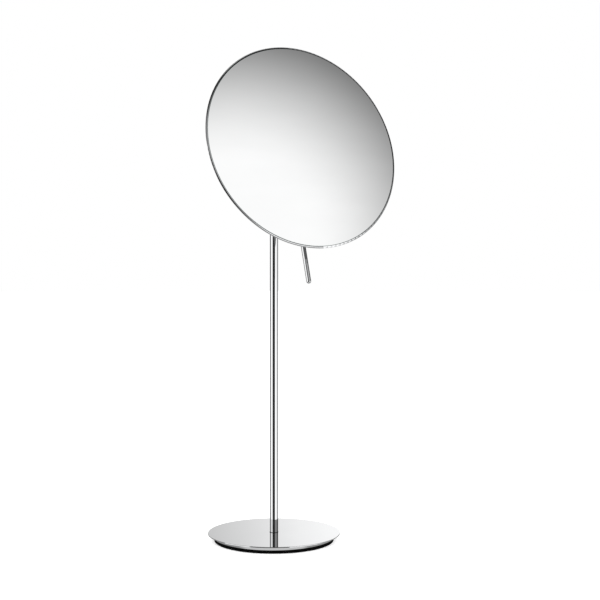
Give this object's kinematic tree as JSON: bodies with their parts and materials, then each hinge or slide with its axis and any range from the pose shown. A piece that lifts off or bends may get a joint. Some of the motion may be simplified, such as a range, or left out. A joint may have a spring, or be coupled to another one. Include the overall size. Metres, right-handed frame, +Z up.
{
  "type": "extendable shaving mirror",
  "caption": "Round tilting shaving mirror with a handle rod, on a swivelling telescopic post with a weighted round foot.",
  "frame": {"origin": "centre of the foot's underside, on the post's axis, on the surface that the mirror stands on", "axes": "+Z up along the post; -Y the way the mirror faces, which is tilted up 17.5 degrees at rest; +X along the tilt hinge, to the right of a person who looks into the mirror"},
  "size_m": [0.2, 0.1513, 0.4739],
  "materials": {
    "plate_chrome": "polished",
    "tube_chrome": "polished",
    "fitting_chrome": "polished",
    "rod_chrome": "polished",
    "shell_chrome": "polished",
    "silvered_glass": "flat, silvered on the back",
    "black_rubber": "matt",
    "plain_steel": "zinc plated",
    "brass": "turned",
    "nylon": "moulded",
    "black_foam": "closed-cell foam"
  },
  "bodies": {
    "base": {"base_plate": "plate_chrome", "foot_pad": "black_rubber", "ballast_disc": "plain_steel", "base_screw": "plain_steel", "outer_tube": "tube_chrome", "foot_plug": "plain_steel", "tube_collar": "fitting_chrome", "friction_sleeve": "nylon", "foot_ring": "black_rubber"},
    "extension": {"inner_tube": "tube_chrome", "lower_glide": "nylon", "swivel_spigot": "brass", "thrust_washer": "nylon", "swivel_spring_washer": "plain_steel", "swivel_nut": "plain_steel"},
    "swivel": {"swivel_fork": "fitting_chrome", "top_cap": "fitting_chrome", "hinge_bolt": "plain_steel", "hinge_spring_washer": "plain_steel", "hinge_nut": "plain_steel", "friction_washers": "nylon", "hinge_caps": "fitting_chrome"},
    "mirror_head": {"tilt_knuckle": "fitting_chrome", "hub_flange": "fitting_chrome", "neck_grub_screw": "plain_steel", "handle_rod": "rod_chrome", "hub_screws": "plain_steel", "mirror_shell": "shell_chrome", "mirror_glass": "silvered_glass", "glass_seal": "black_rubber", "glass_tape": "black_foam", "edge_cushion": "black_foam"}
  },
  "joints": [
    {"name": "post_extend", "type": "slide", "parent": "base", "child": "extension", "axis": [0, 0, 1], "range_m": [0, 0.18]},
    {"name": "head_swivel", "type": "hinge", "parent": "extension", "child": "swivel", "pos_m": [0, 0, 0.3701], "axis": [0, 0, 1], "continuous": true},
    {"name": "mirror_tilt", "type": "hinge", "parent": "swivel", "child": "mirror_head", "pos_m": [0, -0.03, 0.3701], "axis": [1, 0, 0], "range_deg": [-60, 25]}
  ]
}
